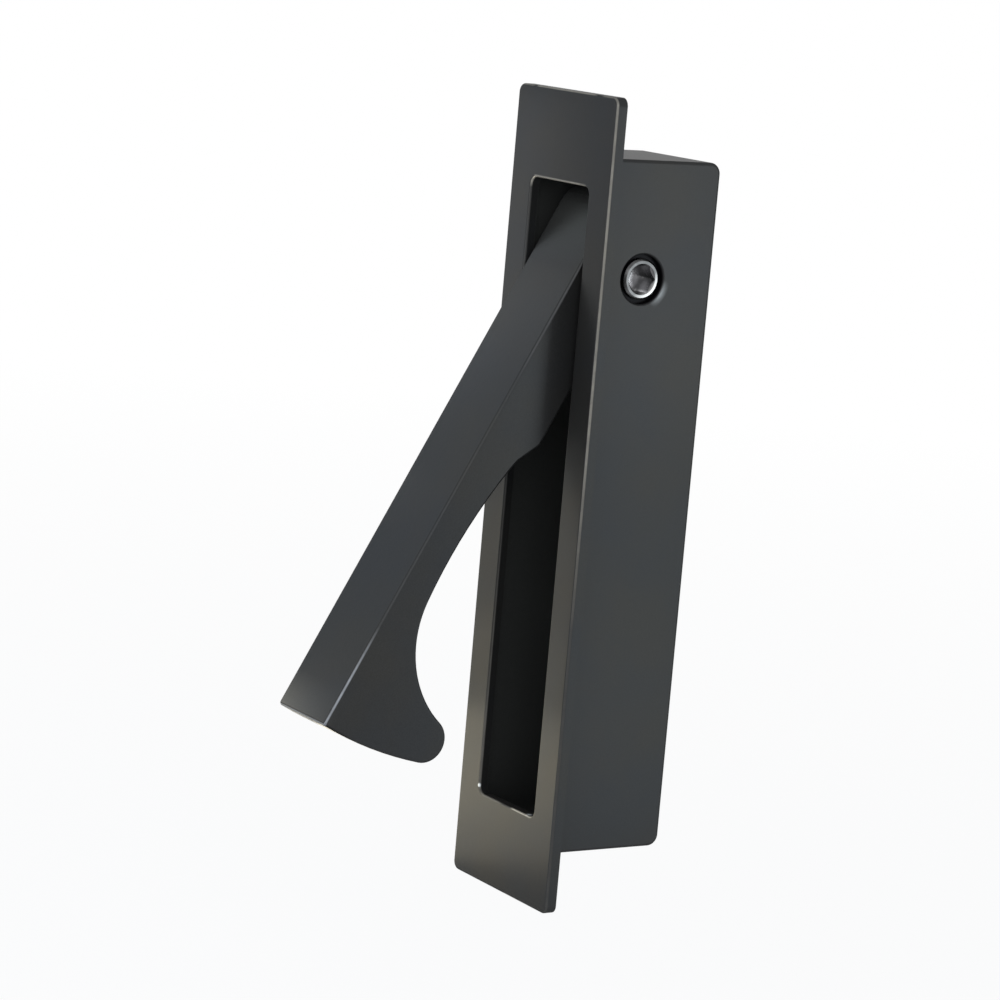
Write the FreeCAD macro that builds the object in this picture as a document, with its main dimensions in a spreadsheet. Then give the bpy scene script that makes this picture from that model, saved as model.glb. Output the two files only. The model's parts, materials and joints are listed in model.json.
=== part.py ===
import FreeCAD, Part
import math
import os
import Sketcher

# Flip-out pull for the edge of a sliding pocket door.
# A cast housing (faceplate, box and open slot) sits in the door's edge, and a cast lever
# turns on a shoulder screw across it. The lever is placed open, as it is left after use.
# Millimetres. The origin is the middle of the faceplate's back face, which lies on the
# door's edge. +X is right seen from the front, +Y goes into the door and +Z is up.

SIZES = {
    # Faceplate
    "plate_length": 120.0,
    "plate_width": 26.4,
    "plate_thick": 1.8,
    "plate_corner": 1.3,
    "plate_edge": 0.4,
    # Slot through the faceplate, with a lip all round that is thinner than the plate
    "slot_length": 93.4,
    "slot_width": 15.4,
    "slot_corner": 1.2,
    "slot_edge": 0.4,
    "lip_thick": 1.5,
    "side_lip": 0.6,
    "end_lip": 3.6,
    # Box behind the faceplate, a little below the plate's middle, and the recess in it
    "box_depth": 20.0,
    "box_drop": 0.4,
    "side_wall": 1.1,
    "end_wall": 1.2,
    "floor_thick": 1.0,
    "recess_corner": 1.5,
    "back_round": 1.7,
    "box_edge": 0.5,
    "root_round": 0.9,
    # Pivot: its axis runs along X, through a round boss inside each side wall
    "pivot_depth": 7.8,
    "pivot_drop": 12.9,
    "boss_radius": 6.2,
    "screw_radius": 3.0,
    "screw_gap": 0.05,
    "screw_inset": 0.1,
    "screw_edge": 0.3,
    "thread_radius": 2.0,
    "thread_inset": 0.2,
    "thread_chamfer": 0.4,
    "counterbore_radius": 3.65,
    "counterbore_depth": 1.0,
    "counterbore_edge": 0.25,
    "socket_flats": 4.0,
    "socket_depth": 3.2,
    "socket_mouth": 0.35,
    # Fixing holes through the floor
    "fixing_radius": 2.0,
    "fixing_spacing": 34.0,
    "fixing_centre": -5.0,
    # Lever, with heights measured down from the pivot
    "open_angle": 28.9,
    "side_gap": 0.9,
    "end_gap": 1.65,
    "head_gap": 0.35,
    "hook_gap": 0.1,
    "face_inset": 0.75,
    "head_round": 4.5,
    "head_back": 5.4,
    "head_drop": 4.0,
    "rib_thick": 9.1,
    "rib_start": 12.0,
    "rib_drop": 28.2,
    "step_thick": 7.1,
    "step_drop": 31.8,
    "sweep_radius": 80.0,
    "arm_thick": 5.4,
    "hollow_drop": 54.7,
    "hollow_radius": 15.8,
    "hook_radius": 3.4,
    "foot_radius": 60.0,
    "head_corner": 1.0,
    "foot_corner": 0.5,
    "lever_edge": 0.4,
    # Flanged bushes in the lever's bore
    "bush_radius": 4.0,
    "bush_length": 5.0,
    "bush_seat_gap": 0.01,
    "bush_run_gap": 0.1,
    "flange_radius": 5.2,
    "flange_chamfer": 0.2,
}

# Sizes that follow from the ones above
RECESS_WIDTH = "(sizes.slot_width + 2 * sizes.side_lip)"
RECESS_LENGTH = "(sizes.slot_length + 2 * sizes.end_lip)"
BOX_WIDTH = f"({RECESS_WIDTH} + 2 * sizes.side_wall)"
BOX_LENGTH = f"({RECESS_LENGTH} + 2 * sizes.end_wall)"
RECESS_FLOOR = "(sizes.box_depth - sizes.floor_thick)"
PIVOT_HEIGHT = "(sizes.slot_length / 2 - sizes.pivot_drop)"
LEVER_WIDTH = "(sizes.slot_width - 2 * sizes.side_gap)"
FACE_OFFSET = "(sizes.pivot_depth + sizes.plate_thick - sizes.face_inset)"
HEAD_RADIUS = f"({RECESS_FLOOR} - sizes.pivot_depth - sizes.head_gap)"
HOOK_REACH = f"({RECESS_FLOOR} - sizes.pivot_depth - sizes.hook_gap)"
FOOT_DROP = f"({PIVOT_HEIGHT} + sizes.slot_length / 2 - sizes.end_gap)"

START, END, CENTRE = range(1, 4)
HORIZONTAL_AXIS, VERTICAL_AXIS = range(-1, -3, -1)
ORIGIN = (HORIZONTAL_AXIS, START)
TOUCH = 1e-4

doc = FreeCAD.newDocument("pocket_door_pull")


def make_sheet():
    sheet = doc.addObject("Spreadsheet::Sheet", "sizes")
    for row, (name, number) in enumerate(SIZES.items(), 1):
        sheet.set(f"A{row}", name)
        sheet.set(f"B{row}", str(number))
        sheet.setAlias(f"B{row}", name)
    doc.recompute()
    return sheet


sheet = make_sheet()


def value(text):
    """The number that an expression in the sheet's sizes comes to."""
    return float(sheet.evalExpression(text))


def make_body(name):
    body = doc.addObject("PartDesign::Body", name)
    body.Label = name
    return body


def place_at_pivot(body, turn=None, axis=(1, 0, 0)):
    """Put a body's own origin on the pivot, turned about one of its axes."""
    body.Placement = FreeCAD.Placement(
        FreeCAD.Vector(0, value("sizes.pivot_depth"), value(PIVOT_HEIGHT)),
        FreeCAD.Rotation(FreeCAD.Vector(*axis), value(turn) if turn else 0),
    )
    body.setExpression("Placement.Base.y", "sizes.pivot_depth")
    body.setExpression("Placement.Base.z", PIVOT_HEIGHT)
    if turn:
        body.setExpression("Placement.Rotation.Angle", turn)


def make_sketch(body, name, plane, offset=None, rise=None):
    """A sketch on one of the body's own origin planes, moved out along its normal or up it."""
    sketch = body.newObject("Sketcher::SketchObject", name)
    support = next(f for f in body.Origin.OriginFeatures if f.Role == plane)
    sketch.AttachmentSupport = [(support, "")]
    sketch.MapMode = "FlatFace"
    if offset:
        sketch.setExpression("AttachmentOffset.Base.z", offset)
    if rise:
        sketch.setExpression("AttachmentOffset.Base.y", rise)
    return sketch


def dimension(sketch, kind, places, text):
    """Add a dimension, and bind it to an expression in the sheet's sizes."""
    index = sketch.addConstraint(Sketcher.Constraint(kind, *places, value(text)))
    sketch.setExpression(f"Constraints[{index}]", text)


def relate(sketch, kind, *places):
    sketch.addConstraint(Sketcher.Constraint(kind, *places))


def add_line(sketch, start, end):
    return sketch.addGeometry(
        Part.LineSegment(FreeCAD.Vector(*start, 0), FreeCAD.Vector(*end, 0))
    )


def add_arc(sketch, centre, radius, start, end):
    """An arc that runs anticlockwise from one angle to another, in degrees."""
    circle = Part.Circle(FreeCAD.Vector(*centre, 0), FreeCAD.Vector(0, 0, 1), radius)
    arc = Part.ArcOfCircle(circle, math.radians(start), math.radians(end))
    return sketch.addGeometry(arc)


def add_circle(sketch, across, up, radius):
    """A circle whose centre and radius are expressions."""
    centre = FreeCAD.Vector(value(across), value(up), 0)
    circle = Part.Circle(centre, FreeCAD.Vector(0, 0, 1), value(radius))
    index = sketch.addGeometry(circle)
    dimension(sketch, "Radius", (index,), radius)
    for kind, text, axis in (
        ("DistanceX", across, VERTICAL_AXIS),
        ("DistanceY", up, HORIZONTAL_AXIS),
    ):
        if value(text) == 0:
            relate(sketch, "PointOnObject", index, CENTRE, axis)
        else:
            dimension(sketch, kind, (*ORIGIN, index, CENTRE), text)


def add_rectangle(sketch, width, height):
    """A rectangle centred on the sketch's origin, sized by two expressions."""
    across, up = value(width) / 2, value(height) / 2
    corners = [(-across, -up), (across, -up), (across, up), (-across, up)]
    sides = [add_line(sketch, corners[i], corners[(i + 1) % 4]) for i in range(4)]
    for i, side in enumerate(sides):
        relate(sketch, "Coincident", side, END, sides[(i + 1) % 4], START)
        relate(sketch, "Vertical" if i % 2 else "Horizontal", side)
    relate(sketch, "Symmetric", sides[0], START, sides[2], START, *ORIGIN)
    dimension(sketch, "DistanceX", (sides[0], START, sides[0], END), width)
    dimension(sketch, "DistanceY", (sides[1], START, sides[1], END), height)


def add_profile(sketch, points):
    """A closed profile of straight lines, each corner placed by two expressions."""
    places = [(value(across), value(up)) for across, up in points]
    count = len(points)
    lines = [add_line(sketch, places[i], places[(i + 1) % count]) for i in range(count)]
    for i, line in enumerate(lines):
        relate(sketch, "Coincident", line, END, lines[(i + 1) % count], START)
        for kind, text, axis in (
            ("DistanceX", points[i][0], VERTICAL_AXIS),
            ("DistanceY", points[i][1], HORIZONTAL_AXIS),
        ):
            if value(text) == 0:
                relate(sketch, "PointOnObject", line, START, axis)
            else:
                dimension(sketch, kind, (*ORIGIN, line, START), text)


def finish_feature(body, feature, adds):
    """Recompute, and see that the feature added or removed material as it should."""
    before = feature.BaseFeature.Shape.Volume if feature.BaseFeature else 0
    doc.recompute()
    change = feature.Shape.Volume - before
    if change * (1 if adds else -1) <= 0:
        raise RuntimeError(f"{feature.Label} changed {body.Label} by {change:.3f} mm3")
    return feature


def pad(body, sketch, length, reverse=False, symmetric=False):
    feature = body.newObject("PartDesign::Pad", "pad_" + sketch.Name)
    feature.Profile = sketch
    feature.SideType = "Symmetric" if symmetric else "One side"
    feature.Reversed = reverse
    feature.setExpression("Length", length)
    return finish_feature(body, feature, adds=True)


def pocket(body, sketch, length, reverse=False, symmetric=False):
    feature = body.newObject("PartDesign::Pocket", "cut_" + sketch.Name)
    feature.Profile = sketch
    feature.SideType = "Symmetric" if symmetric else "One side"
    feature.Reversed = reverse
    feature.setExpression("Length", length)
    return finish_feature(body, feature, adds=False)


def revolve(body, sketch):
    feature = body.newObject("PartDesign::Revolution", "turn_" + sketch.Name)
    feature.Profile = sketch
    feature.ReferenceAxis = (sketch, ["H_Axis"])
    feature.Angle = 360
    return finish_feature(body, feature, adds=True)


def dress(body, kind, name, base, test, size, adds=False):
    """Round or chamfer the edges of the last feature that pass a test."""
    edges = [f"Edge{i}" for i, e in enumerate(base.Shape.Edges, 1) if test(e)]
    if not edges:
        raise RuntimeError(f"{name} found no edges")
    feature = body.newObject("PartDesign::" + kind, name)
    feature.Base = (base, edges)
    feature.setExpression("Radius" if kind == "Fillet" else "Size", size)
    return finish_feature(body, feature, adds=adds)


def in_plane(edge, axis, place):
    """Whether an edge lies wholly in a plane across an axis."""
    box = edge.BoundBox
    low, high = getattr(box, axis + "Min"), getattr(box, axis + "Max")
    return abs(low - place) < TOUCH and abs(high - place) < TOUCH


def runs_along(edge, axis):
    """Whether an edge is straight along one axis."""
    box = edge.BoundBox
    others = [a for a in "XYZ" if a != axis]
    return all(getattr(box, a + "Length") < TOUCH for a in others)


def within(edge, width, length, drop=0.0):
    """Whether an edge is inside an upright rectangle round the origin, seen from the front."""
    box = edge.BoundBox
    across, up = value(width) / 2 + TOUCH, value(length) / 2 + TOUCH
    return (
        -across < box.XMin and box.XMax < across
        and -up - drop < box.ZMin and box.ZMax < up - drop
    )


def at_corner(edge, width, length, drop=0.0):
    """Whether an edge is at a corner of an upright rectangle, and runs into the door."""
    middle = edge.BoundBox.Center
    return (
        runs_along(edge, "Y")
        and abs(abs(middle.x) - value(width) / 2) < TOUCH
        and abs(abs(middle.z + drop) - value(length) / 2) < TOUCH
    )


def on_box_side(edge):
    """Whether an edge borders one of the box's two long sides, behind the faceplate."""
    side = value(BOX_WIDTH) / 2
    beside = in_plane(edge, "X", side) or in_plane(edge, "X", -side)
    return beside and edge.BoundBox.YMax > TOUCH


def round_box(body, base):
    """Round the box's back corners, its long edges and its root on the faceplate."""
    depth, drop = value("sizes.box_depth"), value("sizes.box_drop")
    back = dress(
        body, "Fillet", "back_round", base,
        lambda e: runs_along(e, "X") and in_plane(e, "Y", depth), "sizes.back_round",
    )
    sides = dress(body, "Fillet", "box_edge", back, on_box_side, "sizes.box_edge")
    return dress(
        body, "Fillet", "root_round", sides,
        lambda e: in_plane(e, "Y", 0) and within(e, BOX_WIDTH, BOX_LENGTH, drop),
        "sizes.root_round", adds=True,
    )


def cut_slot(body):
    """Cut the slot through the faceplate, and round its corners and its front edge."""
    front = -value("sizes.plate_thick")
    slot = make_sketch(body, "slot", "XZ_Plane", "sizes.plate_thick")
    add_rectangle(slot, "sizes.slot_width", "sizes.slot_length")
    cut = pocket(body, slot, "sizes.plate_thick")
    rounded = dress(
        body, "Fillet", "slot_corner", cut,
        lambda e: at_corner(e, "sizes.slot_width", "sizes.slot_length"),
        "sizes.slot_corner", adds=True,
    )
    dress(
        body, "Fillet", "slot_edge", rounded,
        lambda e: in_plane(e, "Y", front) and within(e, "sizes.slot_width", "sizes.slot_length"),
        "sizes.slot_edge",
    )


def hollow_box(body):
    """Hollow the box out behind the slot's lip, down to its floor."""
    behind_lip = "sizes.plate_thick - sizes.lip_thick"
    recess = make_sketch(body, "recess", "XZ_Plane", behind_lip, rise="-sizes.box_drop")
    add_rectangle(recess, RECESS_WIDTH, RECESS_LENGTH)
    cut = pocket(body, recess, f"{behind_lip} + {RECESS_FLOOR}")
    drop = value("sizes.box_drop")
    dress(
        body, "Fillet", "recess_corner", cut,
        lambda e: at_corner(e, RECESS_WIDTH, RECESS_LENGTH, drop),
        "sizes.recess_corner", adds=True,
    )


def add_pivot_bosses(body):
    """A round boss inside each side wall, as deep as the slot's lip, for the pivot."""
    for name, sign, reverse in (("right_boss", "", False), ("left_boss", "-", True)):
        boss = make_sketch(body, name, "YZ_Plane", f"{sign}sizes.slot_width / 2")
        add_circle(boss, "sizes.pivot_depth", PIVOT_HEIGHT, "sizes.boss_radius")
        pad(body, boss, "sizes.side_lip + sizes.side_wall / 2", reverse=reverse)


def cut_pivot_holes(body):
    """A plain bore with a counterbore on the right, and a tapped hole on the left."""
    bore = make_sketch(body, "screw_bore", "YZ_Plane")
    add_circle(bore, "sizes.pivot_depth", PIVOT_HEIGHT, "sizes.screw_radius + sizes.screw_gap")
    pocket(body, bore, BOX_WIDTH, reverse=True)
    tapped = make_sketch(body, "tapped_hole", "YZ_Plane")
    add_circle(tapped, "sizes.pivot_depth", PIVOT_HEIGHT, "sizes.thread_radius + sizes.screw_gap")
    pocket(body, tapped, BOX_WIDTH)
    counterbore = make_sketch(body, "counterbore", "YZ_Plane", f"{BOX_WIDTH} / 2")
    add_circle(counterbore, "sizes.pivot_depth", PIVOT_HEIGHT, "sizes.counterbore_radius")
    cut = pocket(body, counterbore, "sizes.counterbore_depth")
    side, radius = value(BOX_WIDTH) / 2, value("sizes.counterbore_radius")
    dress(
        body, "Chamfer", "counterbore_edge", cut,
        lambda e: in_plane(e, "X", side) and abs(e.BoundBox.YLength - 2 * radius) < TOUCH,
        "sizes.counterbore_edge",
    )


def cut_fixing_holes(body):
    """Two plain holes through the recess's floor, for the screws into the door."""
    sketch = make_sketch(body, "fixing_holes", "XZ_Plane", "-" + RECESS_FLOOR)
    for sign in ("+", "-"):
        height = f"sizes.fixing_centre {sign} sizes.fixing_spacing / 2"
        add_circle(sketch, "0", height, "sizes.fixing_radius")
    pocket(body, sketch, "2 * sizes.floor_thick")


def build_housing():
    body = make_body("housing")
    plate = make_sketch(body, "faceplate", "XZ_Plane")
    add_rectangle(plate, "sizes.plate_width", "sizes.plate_length")
    plate_pad = pad(body, plate, "sizes.plate_thick")
    corners = dress(
        body, "Fillet", "plate_corner", plate_pad,
        lambda e: runs_along(e, "Y"), "sizes.plate_corner",
    )
    front = -value("sizes.plate_thick")
    dress(
        body, "Fillet", "plate_edge", corners,
        lambda e: in_plane(e, "Y", front), "sizes.plate_edge",
    )
    box = make_sketch(body, "box", "XZ_Plane", rise="-sizes.box_drop")
    add_rectangle(box, BOX_WIDTH, BOX_LENGTH)
    round_box(body, pad(body, box, "sizes.box_depth", reverse=True))
    cut_slot(body)
    hollow_box(body)
    add_pivot_bosses(body)
    cut_pivot_holes(body)
    cut_fixing_holes(body)
    return body


def angle_to(centre, point):
    """The direction from a centre to a point, in degrees from 0 to 360."""
    return math.degrees(math.atan2(point[1] - centre[1], point[0] - centre[0])) % 360


def where_met(first, first_reach, second, second_reach):
    """The place at given distances from two points, on the left going from first to second."""
    gap = math.dist(first, second)
    along = (first_reach**2 - second_reach**2 + gap**2) / (2 * gap)
    aside = math.sqrt(first_reach**2 - along**2)
    unit = ((second[0] - first[0]) / gap, (second[1] - first[1]) / gap)
    return (
        first[0] + along * unit[0] - aside * unit[1],
        first[1] + along * unit[1] + aside * unit[0],
    )


def draw_lever(sketch):
    """The lever's side outline when shut, with the pivot at the sketch's origin.

    Across is depth into the door and up is height. The outline goes from the foot up the
    face, round the head behind the pivot, down the rib, a step and the thin arm, into the
    finger hollow, round the hook and back along the curved foot.
    """
    face = -value(FACE_OFFSET)
    head_radius = value(HEAD_RADIUS)
    nose = value("sizes.head_round")
    back = value("sizes.head_back")
    rib = face + value("sizes.rib_thick")
    foot = (face, -value(FOOT_DROP))
    head_low = (back, -value("sizes.head_drop"))
    rib_high = (rib, -value("sizes.rib_start"))
    rib_low = (rib, -value("sizes.rib_drop"))
    step = (face + value("sizes.step_thick"), -value("sizes.step_drop"))

    sweep, hollow = value("sizes.sweep_radius"), value("sizes.hollow_radius")
    hook, curve = value("sizes.hook_radius"), value("sizes.foot_radius")
    hollow_centre = (face + value("sizes.arm_thick") + hollow, -value("sizes.hollow_drop"))
    sweep_centre = where_met(hollow_centre, sweep - hollow, step, sweep)
    if sweep_centre[0] < hollow_centre[0]:
        sweep_centre = where_met(step, sweep, hollow_centre, sweep - hollow)
    hook_across = value(HOOK_REACH) - hook
    fall = math.sqrt((hollow + hook) ** 2 - (hollow_centre[0] - hook_across) ** 2)
    hook_centre = (hook_across, hollow_centre[1] - fall)
    curve_centre = where_met(foot, curve, hook_centre, curve - hook)
    head_top = (back, math.sqrt(head_radius**2 - back**2))

    front = add_line(sketch, foot, (face, head_radius - nose))
    nose_arc = add_arc(sketch, (face + nose, head_radius - nose), nose, 90, 180)
    top = add_line(sketch, (face + nose, head_radius), (0, head_radius))
    heel = add_arc(sketch, (0, 0), head_radius, angle_to((0, 0), head_top), 90)
    head = add_line(sketch, head_top, head_low)
    slope = add_line(sketch, head_low, rib_high)
    rib_line = add_line(sketch, rib_high, rib_low)
    step_line = add_line(sketch, rib_low, step)
    sweep_arc = add_arc(
        sketch, sweep_centre, sweep,
        angle_to(sweep_centre, step), angle_to(sweep_centre, hollow_centre),
    )
    hollow_arc = add_arc(
        sketch, hollow_centre, hollow,
        angle_to(sweep_centre, hollow_centre), angle_to(hollow_centre, hook_centre),
    )
    hook_arc = add_arc(
        sketch, hook_centre, hook,
        angle_to(curve_centre, hook_centre) - 360, angle_to(hook_centre, hollow_centre),
    )
    foot_arc = add_arc(
        sketch, curve_centre, curve,
        angle_to(curve_centre, foot), angle_to(curve_centre, hook_centre),
    )

    relate(sketch, "Tangent", front, END, nose_arc, END)
    relate(sketch, "Tangent", nose_arc, START, top, START)
    relate(sketch, "Tangent", top, END, heel, END)
    relate(sketch, "Coincident", heel, START, head, START)
    relate(sketch, "Coincident", head, END, slope, START)
    relate(sketch, "Coincident", slope, END, rib_line, START)
    relate(sketch, "Coincident", rib_line, END, step_line, START)
    relate(sketch, "Coincident", step_line, END, sweep_arc, START)
    relate(sketch, "Tangent", sweep_arc, END, hollow_arc, START)
    relate(sketch, "Tangent", hollow_arc, END, hook_arc, END)
    relate(sketch, "Tangent", hook_arc, START, foot_arc, END)
    relate(sketch, "Coincident", foot_arc, START, front, START)
    relate(sketch, "Coincident", heel, CENTRE, *ORIGIN)
    relate(sketch, "Horizontal", top)
    for upright in (front, head, rib_line):
        relate(sketch, "Vertical", upright)

    dimension(sketch, "DistanceX", (front, START, *ORIGIN), FACE_OFFSET)
    dimension(sketch, "DistanceY", (front, START, *ORIGIN), FOOT_DROP)
    dimension(sketch, "Radius", (nose_arc,), "sizes.head_round")
    dimension(sketch, "Radius", (heel,), HEAD_RADIUS)
    dimension(sketch, "DistanceX", (*ORIGIN, head, START), "sizes.head_back")
    dimension(sketch, "DistanceY", (head, END, *ORIGIN), "sizes.head_drop")
    dimension(sketch, "DistanceX", (front, START, rib_line, START), "sizes.rib_thick")
    dimension(sketch, "DistanceY", (rib_line, START, *ORIGIN), "sizes.rib_start")
    dimension(sketch, "DistanceY", (rib_line, END, *ORIGIN), "sizes.rib_drop")
    dimension(sketch, "DistanceX", (front, START, sweep_arc, START), "sizes.step_thick")
    dimension(sketch, "DistanceY", (sweep_arc, START, *ORIGIN), "sizes.step_drop")
    dimension(sketch, "Radius", (sweep_arc,), "sizes.sweep_radius")
    hollow_place = "sizes.arm_thick + sizes.hollow_radius"
    dimension(sketch, "DistanceX", (front, START, hollow_arc, CENTRE), hollow_place)
    dimension(sketch, "DistanceY", (hollow_arc, CENTRE, *ORIGIN), "sizes.hollow_drop")
    dimension(sketch, "Radius", (hollow_arc,), "sizes.hollow_radius")
    dimension(sketch, "Radius", (hook_arc,), "sizes.hook_radius")
    hook_place = f"{HOOK_REACH} - sizes.hook_radius"
    dimension(sketch, "DistanceX", (*ORIGIN, hook_arc, CENTRE), hook_place)
    dimension(sketch, "Radius", (foot_arc,), "sizes.foot_radius")


def build_lever():
    body = make_body("lever")
    outline = make_sketch(body, "outline", "YZ_Plane")
    draw_lever(outline)
    blank = pad(body, outline, LEVER_WIDTH, symmetric=True)
    side, back = value(LEVER_WIDTH) / 2, value("sizes.head_back")
    head = dress(
        body, "Fillet", "head_corner", blank,
        lambda e: runs_along(e, "X") and in_plane(e, "Y", back), "sizes.head_corner",
    )
    foot = dress(
        body, "Fillet", "foot_corner", head,
        lambda e: runs_along(e, "X") and in_plane(e, "Z", -value(FOOT_DROP)), "sizes.foot_corner",
    )
    dress(
        body, "Fillet", "lever_edge", foot,
        lambda e: in_plane(e, "X", side) or in_plane(e, "X", -side), "sizes.lever_edge",
    )
    bore = make_sketch(body, "pivot_bore", "YZ_Plane")
    add_circle(bore, "0", "0", "sizes.bush_radius + sizes.bush_seat_gap")
    pocket(body, bore, LEVER_WIDTH, symmetric=True)
    place_at_pivot(body, "-sizes.open_angle")
    return body


def build_pivot_screw():
    """A plain shoulder from wall to wall, a threaded end and a hexagon socket."""
    body = make_body("pivot_screw")
    head = f"({BOX_WIDTH} / 2 - sizes.screw_inset)"
    shoulder = "(-sizes.slot_width / 2)"
    tip = f"(-{BOX_WIDTH} / 2 + sizes.thread_inset)"
    mouth = "(sizes.socket_flats / 2 / cos(30))"
    profile = make_sketch(body, "screw", "XZ_Plane")
    add_profile(profile, [
        (tip, "0"),
        (tip, "sizes.thread_radius - sizes.thread_chamfer"),
        (f"{tip} + sizes.thread_chamfer", "sizes.thread_radius"),
        (shoulder, "sizes.thread_radius"),
        (shoulder, "sizes.screw_radius"),
        (f"{head} - sizes.screw_edge", "sizes.screw_radius"),
        (head, "sizes.screw_radius - sizes.screw_edge"),
        (head, mouth),
        (f"{head} - sizes.socket_mouth", "sizes.socket_flats / 2"),
        (f"{head} - sizes.socket_mouth", "0"),
    ])
    revolve(body, profile)
    socket = make_sketch(body, "socket", "YZ_Plane", head)
    add_hexagon(socket, "sizes.socket_flats")
    pocket(body, socket, "sizes.socket_depth")
    place_at_pivot(body)
    return body


def add_hexagon(sketch, flats):
    """A regular hexagon round the sketch's origin, given across its flats."""
    radius = value(flats) / 2 / math.cos(math.pi / 6)
    points = [
        (radius * math.cos(math.radians(60 * i)), radius * math.sin(math.radians(60 * i)))
        for i in range(6)
    ]
    sides = [add_line(sketch, points[i], points[(i + 1) % 6]) for i in range(6)]
    ring = sketch.addGeometry(
        Part.Circle(FreeCAD.Vector(0, 0, 0), FreeCAD.Vector(0, 0, 1), radius), True
    )
    relate(sketch, "Coincident", ring, CENTRE, *ORIGIN)
    dimension(sketch, "Radius", (ring,), f"{flats} / 2 / cos(30)")
    for i, side in enumerate(sides):
        relate(sketch, "Coincident", side, END, sides[(i + 1) % 6], START)
        relate(sketch, "PointOnObject", side, START, ring)
        if i:
            relate(sketch, "Equal", sides[0], side)
    relate(sketch, "PointOnObject", sides[0], START, HORIZONTAL_AXIS)


def build_bush(name, turn=None):
    """A flanged bush: its sleeve is in the lever's bore and its flange fills the side gap."""
    body = make_body(name)
    face = f"({LEVER_WIDTH} / 2)"
    rim = f"({face} + sizes.side_gap - sizes.bush_run_gap)"
    inner = f"({face} - sizes.bush_length)"
    bore = "(sizes.screw_radius + sizes.screw_gap)"
    profile = make_sketch(body, name + "_profile", "XZ_Plane")
    add_profile(profile, [
        (inner, bore),
        (rim, bore),
        (rim, "sizes.flange_radius - sizes.flange_chamfer"),
        (f"{rim} - sizes.flange_chamfer", "sizes.flange_radius"),
        (face, "sizes.flange_radius"),
        (face, "sizes.bush_radius"),
        (inner, "sizes.bush_radius"),
    ])
    revolve(body, profile)
    place_at_pivot(body, turn, axis=(0, 0, 1))
    return body


def check_document():
    """Stop on any failed object or open sketch before anything is written."""
    for item in doc.Objects:
        if "Invalid" in item.State or "Error" in item.State:
            raise RuntimeError(f"{item.Label} failed: {item.State}")
        if item.isDerivedFrom("Sketcher::SketchObject") and item.solve() != 0:
            raise RuntimeError(f"{item.Label} can't be solved")


def export(bodies):
    os.makedirs("parts", exist_ok=True)
    for body in bodies:
        shape = body.Shape
        if shape.isNull() or not shape.isValid() or len(shape.Solids) != 1:
            raise RuntimeError(f"{body.Label} isn't one valid solid")
        shape.exportStep(f"parts/{body.Label}.step")
        print(f"{body.Label}: {shape.Volume:.1f} mm3, {len(shape.Faces)} faces")


def main():
    bodies = [
        build_housing(),
        build_lever(),
        build_pivot_screw(),
        build_bush("bush_right"),
        build_bush("bush_left", turn="180"),
    ]
    doc.recompute()
    check_document()
    export(bodies)


main()
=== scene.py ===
"""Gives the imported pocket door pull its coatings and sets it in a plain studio."""

import json
import math

import bpy
from mathutils import Euler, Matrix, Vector


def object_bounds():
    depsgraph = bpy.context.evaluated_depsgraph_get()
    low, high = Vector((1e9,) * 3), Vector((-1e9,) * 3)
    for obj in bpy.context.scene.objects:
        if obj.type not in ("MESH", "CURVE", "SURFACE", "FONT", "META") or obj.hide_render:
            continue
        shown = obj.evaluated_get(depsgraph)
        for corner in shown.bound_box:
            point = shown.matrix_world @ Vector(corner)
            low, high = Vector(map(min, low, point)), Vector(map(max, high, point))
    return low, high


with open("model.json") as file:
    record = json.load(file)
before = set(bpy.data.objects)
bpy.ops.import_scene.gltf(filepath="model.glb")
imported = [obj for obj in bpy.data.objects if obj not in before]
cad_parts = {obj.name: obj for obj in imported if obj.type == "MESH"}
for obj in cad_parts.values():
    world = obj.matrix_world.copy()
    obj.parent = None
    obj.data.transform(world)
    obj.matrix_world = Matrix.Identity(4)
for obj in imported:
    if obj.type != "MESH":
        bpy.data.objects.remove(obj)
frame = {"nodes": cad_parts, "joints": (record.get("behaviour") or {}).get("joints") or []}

bl_info = {
    "name": "Pocket Door Pull Finishes",
    "version": (1, 0, 0),
    "blender": (4, 5, 0),
    "location": "View3D > Sidebar > Door Pull",
    "description": "Coats the castings, plates the screw and lights a flip-out door pull",
    "category": "Object",
}

CAD_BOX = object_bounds()
MM = 0.001
PIVOT = Vector(frame["joints"][0]["pos_m"])

# The faceplate: which way it faces, and half its slot's width and length
PLATE_FRONT = (0.0, -1.0, 0.0)
SLOT_ACROSS = 7.7 * MM
SLOT_UP = 46.7 * MM

# How far the box behind the faceplate sits below the plate's middle
BOX_DROP = 0.4 * MM

# The lever at rest: how far it stands open, which way it faces and points, and how far
# its front face and its end are from the origin in those directions
OPEN_ANGLE = math.radians(28.9)
LEVER_FRONT = (0.0, -math.cos(OPEN_ANGLE), math.sin(OPEN_ANGLE))
LEVER_ALONG = (0.0, -math.sin(OPEN_ANGLE), -math.cos(OPEN_ANGLE))
LEVER_FACE = 18.36 * MM
LEVER_END = 45.5 * MM

# Each pair below gives where a share begins to change and where it has changed in full.
# The recess inside the box, painted paler as light: to the sides, up and down, into the door and short
# of the back
RECESS_ASIDE = (SLOT_ACROSS + 1.2 * MM, SLOT_ACROSS + 0.9 * MM)
RECESS_ALOFT = (SLOT_UP + 4.5 * MM, SLOT_UP + 3.9 * MM)
RECESS_FRONT = (-0.5 * MM, -0.3 * MM)
RECESS_BACK = (19.6 * MM, 19.3 * MM)

# The counterbore, darkened with painted shade, measured from the pivot
BORE_RADIUS = (3.8 * MM, 3.7 * MM)
BORE_FLOOR = (8.0 * MM, 8.2 * MM)

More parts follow.
